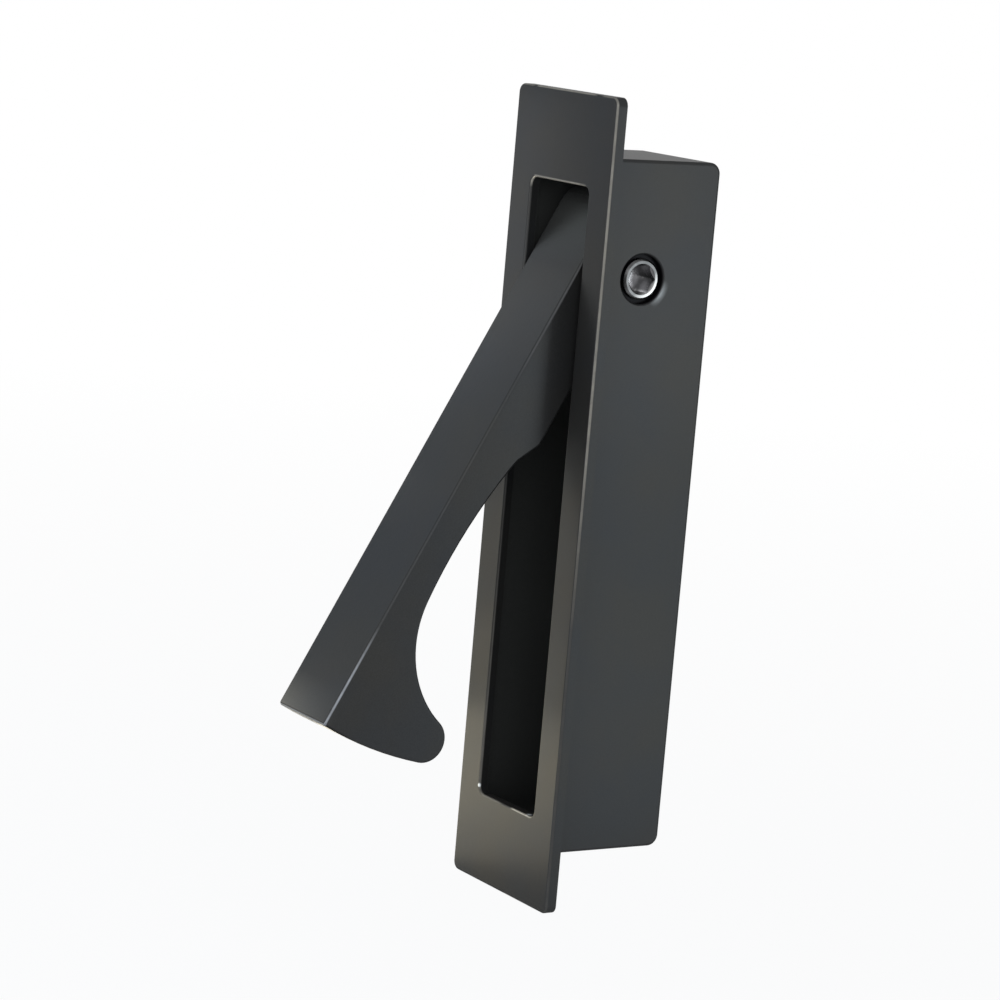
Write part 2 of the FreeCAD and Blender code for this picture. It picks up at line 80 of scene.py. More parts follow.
# The faceplate's front, its outer rim and the slot's edges
PLATE_SKIN = (0.3 * MM, 0.0)
OUTER_RIM = (SLOT_ACROSS + 1 * MM, SLOT_ACROSS + 2 * MM)
SLOT_RIM = (SLOT_ACROSS + 1 * MM, SLOT_ACROSS)
RIGHT_OF_MIDDLE = (1 * MM, 2 * MM)
LEFT_OF_MIDDLE = (-1 * MM, -2 * MM)
SLOT_TOP = (SLOT_UP - 1.6 * MM, SLOT_UP - 0.6 * MM)
SLOT_TOP_RIGHT = (7.8 * MM, 6.6 * MM)

# Heights on the faceplate, for the wear and painted highlights on its rim and on the slot's right and
# left
RIM_HEIGHTS = (12 * MM, -18 * MM)
RIGHT_HEIGHTS = (18 * MM, -30 * MM)
LEFT_HEIGHTS = (0.0, -34 * MM)

# The lever: heights towards its hook and by the slot, and at its head where it is painted paler as
# light, and then its end, with its band of painted warm light and its rounding darkened with painted
# shade
HOOK_HEIGHTS = (-17 * MM, -23 * MM)
NEAR_SLOT = (16 * MM, 22 * MM)
HEAD_HEIGHTS = (35 * MM, 42 * MM)
TIP_ALONG = (LEVER_END - 6 * MM, LEVER_END - 0.5 * MM)
TIP_LEFT = (6.6 * MM, -6 * MM)
TIP_FRONT = (LEVER_FACE - 1.5 * MM, LEVER_FACE - 0.5 * MM)
TIP_ROUNDING = (LEVER_END - 0.4 * MM, LEVER_END - 0.15 * MM)

# The screw: its lower right with a painted highlight, the end with the socket, and the socket's middle
# with painted light
PAINTED_HIGHLIGHT_SIDE = (1.2 * MM, 4 * MM)
SOCKET_END = (0.0, 1 * MM)
SOCKET_FADE = 0.2 * MM
SOCKET_MIDDLE = (1.8 * MM, 1.2 * MM)
SOCKET_LIT_SIDE = (-0.2 * MM, -0.9 * MM)

# Thin rubbed lines that carry painted highlights, and the ring of the counterbore's painted glint:
# where each starts, is full, is still full, and ends
LINE_ABOVE_SLOT = (SLOT_UP - 0.2 * MM, SLOT_UP, SLOT_UP + 0.15 * MM, SLOT_UP + 0.4 * MM)
LINE_ABOVE_ACROSS = (-SLOT_ACROSS + 0.6 * MM, -SLOT_ACROSS + 1.2 * MM, 5 * MM, 7 * MM)
LINE_BESIDE_SLOT = (
    SLOT_ACROSS - 0.4 * MM,
    SLOT_ACROSS - 0.2 * MM,
    SLOT_ACROSS + 0.15 * MM,
    SLOT_ACROSS + 0.45 * MM,
)
LINE_BESIDE_START = (-SLOT_UP, -SLOT_UP + 1 * MM)
LINE_BESIDE_HEIGHTS = (18 * MM, -2 * MM)
BORE_RIM = (3.75 * MM, 3.85 * MM, 4.1 * MM, 4.9 * MM)

# Painted highlights, small glints: the middle of each, and how far from it the glint is full and gone
BORE_PAINTED_GLINT = (PIVOT + Vector((9.5, 3.3, -2.1)) * MM, 0.2 * MM, 2.2 * MM)
LEFT_PAINTED_GLINT = (Vector((-7.7, -1.8, -45.6)) * MM, 0.1 * MM, 0.4 * MM)
BOTTOM_PAINTED_GLINT = (Vector((5.7, -1.2, -46.7)) * MM, 0.25 * MM, 0.6 * MM)

# How far each place is rubbed and given painted highlights, painted shade and painted light, where that
# is at its full or its least
RIM_WEAR_HIGH_UP = 0.62
RIM_WEAR_LOW_DOWN = 0.08
SLOT_LEFT_WEAR = 0.25
LEAST_PLATE_WEAR = 0.04
LINE_ABOVE_WEAR = 0.8
LINE_BESIDE_WEAR = 0.18
BORE_GLINT_STRENGTH = 0.15
HOOK_WEAR = 0.75
LEAST_LEVER_WEAR = 0.03
NEAR_SLOT_WEAR = 0.08
TIP_WEAR = 0.13
TIP_RIGHT_SHARE = 0.15
TIP_PAINTED_SHADE = 0.8
LEAST_SOCKET_LIGHT = 0.3

# The middle part of a noise's values that is stretched to its whole range
SOFT = (0.3, 0.7)
CLEAR = (0.35, 0.65)
SHARP = (0.38, 0.62)

# How far a rounding has turned from its front where its wear and painted highlights begin and are full
TURNING = (0.07, 0.2)


# Node trees

def new_material(name):
    """A material with an empty node tree, and that tree."""
    material = bpy.data.materials.new(name)
    material.use_nodes = True
    tree = material.node_tree
    tree.nodes.clear()
    return material, tree


def connect(tree, node, socket, given):
    """Set one input of a node to a number, colour or vector, or link it to an output."""
    if isinstance(socket, str):
        target = next(s for s in node.inputs if s.name.lower() == socket and s.enabled)
    else:
        target = node.inputs[socket]
    if isinstance(given, bpy.types.NodeSocket):
        tree.links.new(given, target)
    else:
        target.default_value = given


def add_node(tree, kind, *terms, operation=None, **sockets):
    """A node whose inputs are set or linked, in their order or by their names."""
    node = tree.nodes.new(kind)
    if operation:
        node.operation = operation
    for index, term in enumerate(terms):
        connect(tree, node, index, term)
    for name, term in sockets.items():
        connect(tree, node, name.replace("_", " "), term)
    return node


def math_node(tree, operation, *terms):
    """The output of one sum, product or comparison."""
    return add_node(tree, "ShaderNodeMath", *terms, operation=operation).outputs[0]


def vector_node(tree, operation, *terms, gives="Vector", **sockets):
    """The output of one operation on vectors: a vector, or a number as its Value."""
    node = add_node(tree, "ShaderNodeVectorMath", *terms, operation=operation, **sockets)
    return node.outputs[gives]


def dot(tree, first, second):
    """The dot product of two vectors."""
    return vector_node(tree, "DOT_PRODUCT", first, second, gives="Value")


def split(tree, vector):
    """The three parts of a vector."""
    node = add_node(tree, "ShaderNodeSeparateXYZ", vector)
    return node.outputs["X"], node.outputs["Y"], node.outputs["Z"]


def fit_range(tree, given, low, high, to_low=0.0, to_high=1.0):
    """A value moved from one range to another, and held inside it."""
    terms = (given, low, high, to_low, to_high)
    return add_node(tree, "ShaderNodeMapRange", *terms).outputs[0]


def all_of(tree, *shares):
    """Several shares multiplied together."""
    product = shares[0]
    for share in shares[1:]:
        product = math_node(tree, "MULTIPLY", product, share)
    return product


def any_of(tree, *shares):
    """The largest of several shares."""
    largest = shares[0]
    for share in shares[1:]:
        largest = math_node(tree, "MAXIMUM", largest, share)
    return largest


def band(tree, given, start, full, still_full, end):
    """1 between two values, falling to 0 on either side of them."""
    return all_of(tree, fit_range(tree, given, start, full), fit_range(tree, given, end, still_full))


def near_point(tree, place, point, near, far):
    """1 near a point, falling to 0 at a distance from it."""
    gap = vector_node(tree, "DISTANCE", place, point, gives="Value")
    return fit_range(tree, gap, far, near)


def mix_colours(tree, share, first, second):
    """Two colours mixed by a share from 0 to 1."""
    node = tree.nodes.new("ShaderNodeMix")
    node.data_type = "RGBA"
    connect(tree, node, 0, share)
    connect(tree, node, 6, first)
    connect(tree, node, 7, second)
    return node.outputs[2]


def mix_shaders(tree, share, first, second):
    """Two shaders mixed by a share from 0 to 1."""
    return add_node(tree, "ShaderNodeMixShader", share, first.outputs[0], second.outputs[0])


def noise(tree, place, grain, detail=2.0, roughness=0.5):
    """Noise with grains of a given size in metres."""
    node = add_node(
        tree,
        "ShaderNodeTexNoise",
        vector=place,
        scale=1 / grain,
        detail=detail,
        roughness=roughness,
    )
    return node.outputs[0]


def bump(tree, height, depth):
    """A normal that follows a height, with the height's full depth in metres."""
    return add_node(tree, "ShaderNodeBump", height=height, distance=depth, strength=1.0).outputs[0]


def object_place(tree):
    """Coordinates in metres that stay with the piece when it moves."""
    return add_node(tree, "ShaderNodeTexCoord").outputs["Object"]


def front_rounding(tree, front):
    """1 along the roundings where a front face turns into its sides, and 0 elsewhere."""
    normal = add_node(tree, "ShaderNodeTexCoord").outputs["Normal"]
    facing = dot(tree, normal, front)
    turning = math_node(tree, "MULTIPLY", facing, math_node(tree, "SUBTRACT", 1.0, facing))
    return fit_range(tree, turning, *TURNING)


def from_pivot(tree, place):
    """A place seen from the pivot: along its axis, into the door, up, and away from it."""
    along, inward, up = split(tree, vector_node(tree, "SUBTRACT", place, PIVOT))
    squares = [math_node(tree, "MULTIPLY", part, part) for part in (inward, up)]
    radius = math_node(tree, "SQRT", math_node(tree, "ADD", *squares))
    return along, inward, up, radius


def colour_of(group, name):
    """A colour property as four numbers for a socket."""
    return (*getattr(group, name)[:3], 1.0)


def finish_tree(tree, shader, kind="ShaderNodeOutputMaterial"):
    """Link a tree's last shader to its output."""
    add_node(tree, kind, surface=shader.outputs[0])


# Wear, painted highlights, painted light and painted shade, each a share from 0 to 1

def plate_rim_wear_and_highlights(tree, aside, up):
    """Wear and painted highlights on the faceplate's outer edges, from strong above to faint below."""
    return all_of(
        tree,
        fit_range(tree, aside, *OUTER_RIM),
        fit_range(tree, up, *RIM_HEIGHTS, RIM_WEAR_HIGH_UP, RIM_WEAR_LOW_DOWN),
    )


def slot_rim_wear_and_highlights(tree, across, aside, up):
    """Wear and painted highlights on the slot's edges: low on its right, faint on its left, and along
    its top.
    """
    rim = fit_range(tree, aside, *SLOT_RIM)
    right = all_of(
        tree,
        rim,
        fit_range(tree, across, *RIGHT_OF_MIDDLE),
        fit_range(tree, up, *RIGHT_HEIGHTS),
    )
    left = all_of(
        tree,
        rim,
        fit_range(tree, across, *LEFT_OF_MIDDLE),
        fit_range(tree, up, *LEFT_HEIGHTS, to_high=SLOT_LEFT_WEAR),
    )
    top = all_of(
        tree,
        rim,
        fit_range(tree, across, *SLOT_TOP_RIGHT),
        fit_range(tree, up, *SLOT_TOP),
    )
    return any_of(tree, right, left, top)


def slot_rub_and_highlight_lines(tree, across, up):
    """Thin rubbed lines with painted highlights on the faceplate, close above the slot and close beside
    it on the right.
    """
    above = all_of(
        tree,
        band(tree, up, *LINE_ABOVE_SLOT),
        band(tree, across, *LINE_ABOVE_ACROSS),
        LINE_ABOVE_WEAR,
    )
    beside = all_of(
        tree,
        band(tree, across, *LINE_BESIDE_SLOT),
        fit_range(tree, up, *LINE_BESIDE_START),
        fit_range(tree, up, *LINE_BESIDE_HEIGHTS, to_high=LINE_BESIDE_WEAR),
    )
    return any_of(tree, above, beside)


def housing_wear_and_highlights(tree, place):
    """Wear and painted highlights on the faceplate: its outer edges, the slot's edges and lines by the
    slot.
    """
    across, depth, up = split(tree, place)
    aside = math_node(tree, "ABSOLUTE", across)
    edges = any_of(
        tree,
        plate_rim_wear_and_highlights(tree, aside, up),
        slot_rim_wear_and_highlights(tree, across, aside, up),
        LEAST_PLATE_WEAR,
    )
    rounded = all_of(tree, edges, front_rounding(tree, PLATE_FRONT))
    on_plate = fit_range(tree, depth, *PLATE_SKIN)
    return all_of(tree, any_of(tree, rounded, slot_rub_and_highlight_lines(tree, across, up)), on_plate)


def recess_painted_light(tree, place):
    """The walls and floor of the recess, painted paler to stand in for light that reaches into it."""
    across, depth, up = split(tree, place)
    aside = math_node(tree, "ABSOLUTE", across)
    aloft = math_node(tree, "ABSOLUTE", math_node(tree, "ADD", up, BOX_DROP))
    return all_of(
        tree,
        fit_range(tree, aside, *RECESS_ASIDE),
        fit_range(tree, aloft, *RECESS_ALOFT),
        fit_range(tree, depth, *RECESS_FRONT),
        fit_range(tree, depth, *RECESS_BACK),
    )


def counterbore_painted_shade(tree, place):
    """The counterbore round the screw, darkened with painted shade."""
    along, _, _, radius = from_pivot(tree, place)
    return all_of(tree, fit_range(tree, radius, *BORE_RADIUS), fit_range(tree, along, *BORE_FLOOR))


def housing_painted_glints(tree, place):
    """Painted highlights: small glints on the counterbore's rim and in the slot's bottom corners."""
    _, _, _, radius = from_pivot(tree, place)
    rim = all_of(
        tree,
        near_point(tree, place, *BORE_PAINTED_GLINT),
        band(tree, radius, *BORE_RIM),
        BORE_GLINT_STRENGTH,
    )
    left = near_point(tree, place, *LEFT_PAINTED_GLINT)
    bottom = near_point(tree, place, *BOTTOM_PAINTED_GLINT)
    return any_of(tree, rim, left, bottom)


def lever_wear_and_highlights(tree, place):
    """Wear and painted highlights on the lever's front edges, most towards the hook, where fingers hold
    it.
    """
    _, _, up = split(tree, place)
    near_hook = fit_range(tree, up, *HOOK_HEIGHTS, LEAST_LEVER_WEAR, HOOK_WEAR)
    near_slot = fit_range(tree, up, *NEAR_SLOT, to_high=NEAR_SLOT_WEAR)
    return all_of(tree, any_of(tree, near_hook, near_slot), front_rounding(tree, LEVER_FRONT))


def lever_head_painted_light(tree, place):
    """The lever's head, which stays inside the slot, painted paler to stand in for light where the slot
    shades it.
    """
    _, _, up = split(tree, place)
    return fit_range(tree, up, *HEAD_HEIGHTS)


def lever_tip_rub_and_light(tree, place):
    """A band across the end of the lever's front face, most on its left: partly rubbed metal, partly
    painted warm light.
    """
    across, _, _ = split(tree, place)
    return all_of(
        tree,
        fit_range(tree, dot(tree, place, LEVER_ALONG), *TIP_ALONG, to_high=TIP_WEAR),
        fit_range(tree, across, *TIP_LEFT, to_low=TIP_RIGHT_SHARE),
        fit_range(tree, dot(tree, place, LEVER_FRONT), *TIP_FRONT),
    )


def lever_tip_painted_shade(tree, place):
    """The rounding at the lever's end, darkened with painted shade."""
    along = dot(tree, place, LEVER_ALONG)
    return fit_range(tree, along, *TIP_ROUNDING, to_high=TIP_PAINTED_SHADE)


# Finishes

def coat_tone(tree, place, coat, grain, patches):
    """The coat's colour: two tones in clouds, patches of other tones (painted light, painted shade,
    painted glints and a rubbed band), and fine speckles.
    """
    clouds = fit_range(tree, noise(tree, place, coat.cloud_size, detail=3.0), *CLEAR)
    tone = mix_colours(tree, clouds, colour_of(coat, "cool_tone"), colour_of(coat, "warm_tone"))
    for share, patch_tone in patches:
        tone = mix_colours(tree, share(tree, place), tone, colour_of(coat, patch_tone))
    speckles = fit_range(tree, grain, *SOFT, 1 - coat.speckle, 1 + coat.speckle)
    return vector_node(tree, "SCALE", tone, scale=speckles)


def graphite_coat(coat, name, wear, worn_tone, patches):
    """Satin graphite over a casting: fine grain, slight cloudiness and rubbed edges with painted
    highlights.

    Wear is a function that adds nodes to the tree and returns how far each place is
    rubbed and given a painted highlight, from 0 to 1. Patches are such functions, each with the name of
    its own tone; they paint light, shade and glints, and a rubbed band.
    """
    material, tree = new_material(name)
    place = object_place(tree)
    grain = noise(tree, place, coat.grain_size, detail=3.0, roughness=0.6)
    peel = noise(tree, place, coat.peel_size)
    relief = math_node(tree, "ADD", math_node(tree, "MULTIPLY", grain, coat.grain_share), peel)
    rubs = noise(tree, place, coat.patch_size, detail=4.0, roughness=0.65)
    patchy = fit_range(tree, rubs, *SHARP, to_low=1 - coat.patchiness)
    rubbed = all_of(tree, wear(tree, place), patchy, coat.wear)
    tone = coat_tone(tree, place, coat, grain, patches)
    low, high = coat.roughness - coat.roughness_spread, coat.roughness + coat.roughness_spread
    shader = add_node(
        tree,
        "ShaderNodeBsdfPrincipled",
        base_color=mix_colours(tree, rubbed, tone, colour_of(coat, worn_tone)),
        metallic=coat.metallic,
        specular_ior_level=coat.gloss,
        specular_tint=colour_of(coat, "gloss_tint"),
        roughness=fit_range(tree, grain, *SOFT, low, high),
        normal=bump(tree, relief, coat.grain_depth),
    )
    finish_tree(tree, shader)
    return material


def socket_tone(tree, screw, inward, up, radius):
    """The colour inside the socket, with light caught in the lower left of its middle."""
    low_left = math_node(tree, "ADD", inward, up)
    lit = all_of(
        tree,
        fit_range(tree, radius, *SOCKET_MIDDLE),
        fit_range(tree, low_left, *SOCKET_LIT_SIDE, to_low=LEAST_SOCKET_LIGHT),
    )
    dark, light = colour_of(screw, "socket_tone"), colour_of(screw, "socket_light")
    return mix_colours(tree, lit, dark, light)


def turned_nickel(screw):
    """Bright nickel on turned steel, with fine rings round the pivot's axis."""
    material, tree = new_material("bright_nickel")
    place = object_place(tree)
    along, inward, up, radius = from_pivot(tree, place)
    rings = add_node(tree, "ShaderNodeCombineXYZ", radius, along).outputs[0]
    marks = noise(tree, rings, screw.mark_size)
    smudge = noise(tree, place, screw.smudge_size, detail=3.0)
    bright, dull = colour_of(screw, "nickel"), colour_of(screw, "nickel_shade")
    tint = mix_colours(tree, fit_range(tree, smudge, *CLEAR), bright, dull)
    # Painted highlight: the screw's lower right is coloured lighter, standing in for a reflection.
    painted_highlight = fit_range(tree, math_node(tree, "SUBTRACT", inward, up), *PAINTED_HIGHLIGHT_SIDE)
    tint = mix_colours(tree, painted_highlight, tint, colour_of(screw, "painted_highlight_tone"))
    socket = all_of(
        tree,
        fit_range(tree, radius, screw.socket_radius, screw.socket_radius - SOCKET_FADE),
        fit_range(tree, along, *SOCKET_END),
    )
    low, high = screw.roughness, screw.roughness + screw.roughness_spread
    shader = add_node(
        tree,
        "ShaderNodeBsdfPrincipled",
        base_color=mix_colours(tree, socket, tint, socket_tone(tree, screw, inward, up, radius)),
        metallic=1.0,
        roughness=fit_range(tree, smudge, *SOFT, low, high),
        normal=bump(tree, marks, screw.mark_depth),
    )
    finish_tree(tree, shader)
    return material


def black_acetal(bush):
    """Moulded black acetal with a faint spark-eroded grain."""
    material, tree = new_material("black_acetal")
    grain = noise(tree, object_place(tree), bush.grain_size)
    dark, pale = colour_of(bush, "black"), colour_of(bush, "worn_black")
    shader = add_node(
        tree,
        "ShaderNodeBsdfPrincipled",
        base_color=mix_colours(tree, fit_range(tree, grain, *CLEAR), dark, pale),
        roughness=fit_range(tree, grain, *SOFT, bush.roughness, bush.roughness + bush.roughness_spread),
        normal=bump(tree, grain, bush.grain_depth),
    )
    finish_tree(tree, shader)
    return material


def dress_node(name, material):
    """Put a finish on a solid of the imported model, in place of the one it came with."""
    slots = frame["nodes"][name].data.materials
    slots.clear()
    slots.append(material)


# Settings

class CoatSettings(bpy.types.PropertyGroup):
    """The graphite coat on both castings"""

    cool_tone: bpy.props.FloatVectorProperty(
        name="Cool tone", description="Graphite coat where it looks cooler",
        subtype="COLOR", size=3, min=0, max=1, default=(0.0320, 0.0337, 0.0357),
    )
    warm_tone: bpy.props.FloatVectorProperty(
        name="Warm tone", description="Graphite coat where it looks warmer",
        subtype="COLOR", size=3, min=0, max=1, default=(0.0348, 0.0350, 0.0343),
    )
    # Painted light: a paler coat in the recess and on the lever's head stands in for light reaching
    # them.
    painted_light_tone: bpy.props.FloatVectorProperty(
        name="Bare tone", description="Cast skin in the recess and on the lever's head",
        subtype="COLOR", size=3, min=0, max=1, default=(0.055, 0.058, 0.057),
    )
    # Painted shade: a darker coat in the counterbore and on the rounding at the lever's end.
    painted_shade_tone: bpy.props.FloatVectorProperty(
        name="Sunk tone", description="Darker coat in the counterbore and round the lever's end",
        subtype="COLOR", size=3, min=0, max=1, default=(0.008, 0.008, 0.009),
    )
    # Painted highlights: the colour of the small glints on the housing.
    painted_glint_tone: bpy.props.FloatVectorProperty(
        name="Glint tone", description="Small bright rubs",
        subtype="COLOR", size=3, min=0, max=1, default=(0.78, 0.84, 0.88),
    )
    # The edge colours carry both rubbed metal and the highlights painted along the edges.
    cool_edge: bpy.props.FloatVectorProperty(
        name="Cool edge", description="Rubbed metal along the lever's edges",
        subtype="COLOR", size=3, min=0, max=1, default=(0.27, 0.29, 0.32),
    )
    warm_edge: bpy.props.FloatVectorProperty(
        name="Warm edge", description="Rubbed metal along the housing's edges and at the lever's end",
        subtype="COLOR", size=3, min=0, max=1, default=(0.31, 0.30, 0.27),
    )
    metallic: bpy.props.FloatProperty(
        name="Metallic", description="How far the coat shines as a metal does",
        min=0, max=1, default=0.6,
    )
    gloss: bpy.props.FloatProperty(
        name="Gloss", description="How bright the coat's clear shine is",
        min=0, max=1, default=0.2,
    )
    gloss_tint: bpy.props.FloatVectorProperty(
        name="Gloss tint", description="The coat's shine where it is seen at a slant",
        subtype="COLOR", size=3, min=0, max=1, default=(0.12, 0.12, 0.12),
    )
    roughness: bpy.props.FloatProperty(
        name="Roughness", description="How matt the coat is", min=0, max=1, default=0.32,
    )
    roughness_spread: bpy.props.FloatProperty(
        name="Roughness spread", description="How far the roughness varies either way",
        min=0, max=1, default=0.04,
    )
    speckle: bpy.props.FloatProperty(
        name="Speckle", description="How far the grain lightens and darkens the coat",
        min=0, max=1, default=0.1,
    )
    grain_size: bpy.props.FloatProperty(
        name="Grain size", description="Size of the coat's finest grain",
        unit="LENGTH", default=0.14 * MM, precision=5,
    )
    grain_depth: bpy.props.FloatProperty(
        name="Grain depth", description="Height of the coat's grain",
        unit="LENGTH", default=0.006 * MM, precision=6,
    )
    grain_share: bpy.props.FloatProperty(
        name="Grain share", description="Height of the finest grain as a share of the ripple's",
        min=0, max=1, default=0.5,
    )
    peel_size: bpy.props.FloatProperty(
        name="Peel size", description="Size of the coat's soft ripple",
        unit="LENGTH", default=0.7 * MM, precision=5,
    )
    cloud_size: bpy.props.FloatProperty(
        name="Cloud size", description="Size of the coat's faint cloudiness",
        unit="LENGTH", default=14 * MM, precision=4,
    )
    patch_size: bpy.props.FloatProperty(
        name="Patch size", description="Size of the patches in which the edges are rubbed",
        unit="LENGTH", default=2.2 * MM, precision=4,
    )
    patchiness: bpy.props.FloatProperty(
        name="Patchiness", description="How much less the edges are rubbed between patches",
        min=0, max=1, default=0.25,
    )
    # Wear scales the rubbed edges together with the highlights painted along them.
    wear: bpy.props.FloatProperty(
        name="Wear", description="How far the edges are rubbed", min=0, max=1, default=0.9,
    )


class ScrewSettings(bpy.types.PropertyGroup):
    """The plating on the pivot screw"""

    nickel: bpy.props.FloatVectorProperty(
        name="Nickel", description="Bright nickel plating",
        subtype="COLOR", size=3, min=0, max=1, default=(0.125, 0.127, 0.13),
    )
    nickel_shade: bpy.props.FloatVectorProperty(
        name="Nickel shade", description="Nickel plating where it is duller",
        subtype="COLOR", size=3, min=0, max=1, default=(0.09, 0.092, 0.094),
    )
    # Painted highlight: the lighter nickel on the screw's lower right stands in for a reflection.
    painted_highlight_tone: bpy.props.FloatVectorProperty(
        name="Polished nickel", description="Nickel plating on the screw's brighter lower right",
        subtype="COLOR", size=3, min=0, max=1, default=(0.5, 0.5, 0.5),
    )
    socket_tone: bpy.props.FloatVectorProperty(
        name="Socket tone", description="Inside of the hexagon socket",
        subtype="COLOR", size=3, min=0, max=1, default=(0.16, 0.16, 0.165),
    )
    socket_light: bpy.props.FloatVectorProperty(
        name="Socket light", description="Lit lower left of the socket's middle",
        subtype="COLOR", size=3, min=0, max=1, default=(0.85, 0.85, 0.88),
    )
    socket_radius: bpy.props.FloatProperty(
        name="Socket radius", description="How far the socket reaches from the screw's middle",
        unit="LENGTH", default=2.3 * MM, precision=4,
    )
    roughness: bpy.props.FloatProperty(
        name="Roughness", description="How matt the plating is at least",
        min=0, max=1, default=0.2,
    )
    roughness_spread: bpy.props.FloatProperty(
        name="Roughness spread", description="How much more matt the smudges are",
        min=0, max=1, default=0.08,
    )
    smudge_size: bpy.props.FloatProperty(
        name="Smudge size", description="Size of the dull smudges",
        unit="LENGTH", default=1.2 * MM, precision=4,
    )
    mark_size: bpy.props.FloatProperty(
        name="Mark size", description="Spacing of the turning marks",
        unit="LENGTH", default=0.09 * MM, precision=5,
    )
    mark_depth: bpy.props.FloatProperty(
        name="Mark depth", description="Depth of the turning marks",
        unit="LENGTH", default=0.004 * MM, precision=6,
    )


class BushSettings(bpy.types.PropertyGroup):
    """The acetal of the two bushes"""

    black: bpy.props.FloatVectorProperty(
        name="Black", description="Colour of the moulded bushes",
        subtype="COLOR", size=3, min=0, max=1, default=(0.014, 0.014, 0.015),
    )
    worn_black: bpy.props.FloatVectorProperty(
        name="Worn black", description="Colour on the tops of the bushes' grain",
        subtype="COLOR", size=3, min=0, max=1, default=(0.021, 0.021, 0.0225),
    )
    roughness: bpy.props.FloatProperty(
        name="Roughness", description="How matt the acetal is at least",
        min=0, max=1, default=0.45,
    )
    roughness_spread: bpy.props.FloatProperty(
        name="Roughness spread", description="How much more matt the tops of its grain are",
        min=0, max=1, default=0.15,
    )
    grain_size: bpy.props.FloatProperty(
        name="Grain size", description="Size of the acetal's grain",
        unit="LENGTH", default=0.12 * MM, precision=5,
    )
    grain_depth: bpy.props.FloatProperty(
        name="Grain depth", description="Height of the acetal's grain",
        unit="LENGTH", default=0.01 * MM, precision=6,
    )


class StageSettings(bpy.types.PropertyGroup):
    """The floor, the room, the lamps and the camera"""

    floor_drop: bpy.props.FloatProperty(
        name="Floor drop", description="How far the floor lies below the faceplate",
        unit="LENGTH", default=0.06,
    )
    floor_radius: bpy.props.FloatProperty(
        name="Floor radius", description="How far the floor reaches",
        unit="LENGTH", default=4.0,
    )
    floor_tone: bpy.props.FloatVectorProperty(
        name="Floor tone", description="Colour of the floor",
        subtype="COLOR", size=3, min=0, max=1, default=(0.9, 0.9, 0.9),
    )
    room_tone: bpy.props.FloatVectorProperty(
        name="Room tone", description="Colour of the room's light",
        subtype="COLOR", size=3, min=0, max=1, default=(0.95, 0.97, 1.0),
    )
    room_power: bpy.props.FloatProperty(
        name="Room power", description="Strength of the room's light", min=0, default=0.85,
    )
    lamp_power: bpy.props.FloatProperty(
        name="Lamp power", description="Strength of all the lamps together",
        min=0, default=1.0,
    )
    lens: bpy.props.FloatProperty(
        name="Lens", description="Focal length of the camera in millimetres",
        min=20, max=300, default=126.64,
    )
    camera_place: bpy.props.FloatVectorProperty(
        name="Camera place", description="Where the camera stands",
        subtype="TRANSLATION", unit="LENGTH", size=3, default=(0.4285, -0.2812, 0.0835),
    )
    camera_turn: bpy.props.FloatVectorProperty(
        name="Camera turn", description="How the camera is turned",
        subtype="EULER", size=3,
        default=tuple(math.radians(angle) for angle in (80.617, -4.834, 58.217)),
    )


# Pieces

# Patches of other tones: painted light in the recess and on the lever's head, painted shade in the
# counterbore and at the lever's end, painted glints, and a band at the lever's end that is partly
# rubbed, partly painted warm light.
HOUSING_PATCHES = (
    (recess_painted_light, "painted_light_tone"),
    (counterbore_painted_shade, "painted_shade_tone"),
    (housing_painted_glints, "painted_glint_tone"),
)
LEVER_PATCHES = (
    (lever_head_painted_light, "painted_light_tone"),
    (lever_tip_rub_and_light, "warm_edge"),
    (lever_tip_painted_shade, "painted_shade_tone"),
)


class PULL_OT_coat_castings(bpy.types.Operator):
    """Coat the housing and the lever in satin graphite"""

    bl_idname = "pull.coat_castings"
    bl_label = "Coat the castings"

    def execute(self, context):
        coat = context.scene.pull_coat
        on_housing = graphite_coat(coat, "housing_coat", housing_wear_and_highlights, "warm_edge", HOUSING_PATCHES)
        on_lever = graphite_coat(coat, "lever_coat", lever_wear_and_highlights, "cool_edge", LEVER_PATCHES)
        dress_node("housing", on_housing)
        dress_node("lever", on_lever)
        return {"FINISHED"}


class PULL_OT_plate_screw(bpy.types.Operator):
    """Plate the pivot screw in bright nickel"""

    bl_idname = "pull.plate_screw"
    bl_label = "Plate the pivot screw"

    def execute(self, context):
        dress_node("pivot_screw", turned_nickel(context.scene.pull_screw))
        return {"FINISHED"}


class PULL_OT_mould_bushes(bpy.types.Operator):
    """Give the two bushes in the lever their black acetal"""

    bl_idname = "pull.mould_bushes"
    bl_label = "Mould the bushes"

    def execute(self, context):
        acetal = black_acetal(context.scene.pull_bush)
        dress_node("bush_right", acetal)
        dress_node("bush_left", acetal)
        return {"FINISHED"}


# Stage

WHITE = (1.0, 1.0, 1.0)
AMBER = (1.0, 0.90, 0.68)
STRAW = (1.0, 0.92, 0.74)
CREAM = (1.0, 0.94, 0.80)
SKY = (0.68, 0.84, 1.0)
ICE = (0.86, 0.97, 1.0)

